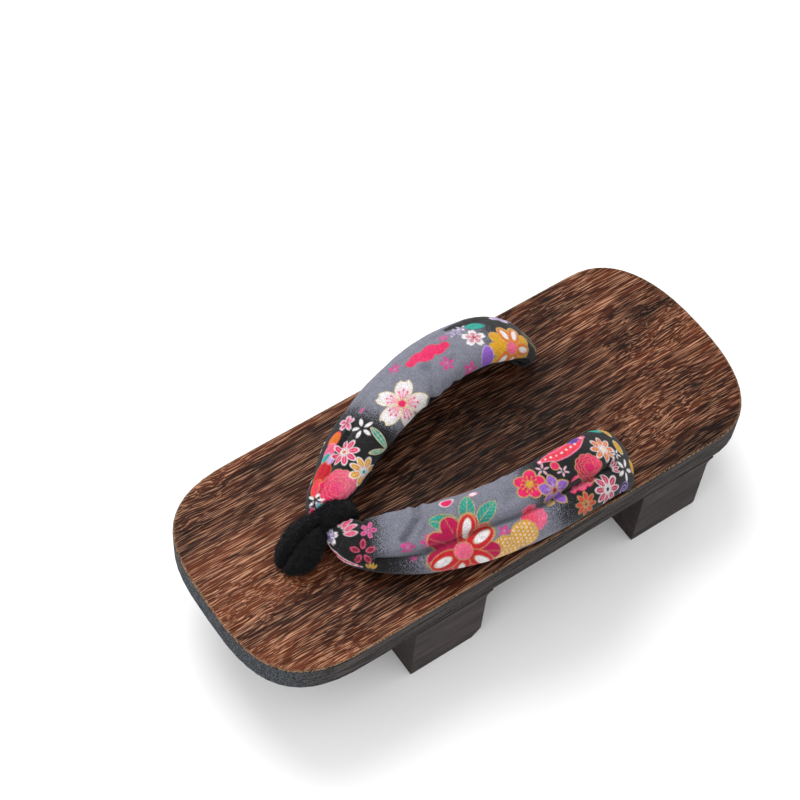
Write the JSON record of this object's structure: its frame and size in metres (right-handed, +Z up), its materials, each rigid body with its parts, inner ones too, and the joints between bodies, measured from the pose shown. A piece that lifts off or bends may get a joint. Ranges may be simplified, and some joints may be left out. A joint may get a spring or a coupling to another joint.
{
  "type": "geta sandal",
  "caption": "Wooden platform sandal standing on flat teeth, with a padded cloth strap held by a pile thong at the toe, for walking.",
  "frame": {"origin": "on the floor under the middle of the whole sandal", "axes": "+Z up; the toe points towards -Y and the heel towards +Y; X runs across the board"},
  "size_m": [0.1077, 0.255, 0.0783],
  "materials": {
    "board_wood": "burnt and brushed, satin",
    "tooth_wood": "burnt, matte",
    "strap_cloth": "printed cotton",
    "thong_pile": "short pile",
    "cord": "twisted cord"
  },
  "bodies": {
    "root": {"board": "board_wood", "front_tooth": "tooth_wood", "rear_tooth": "tooth_wood", "strap": "strap_cloth", "toe_thong": "thong_pile", "toe_knot": "cord", "rear_knot_left": "cord", "rear_knot_right": "cord"}
  },
  "joints": []
}
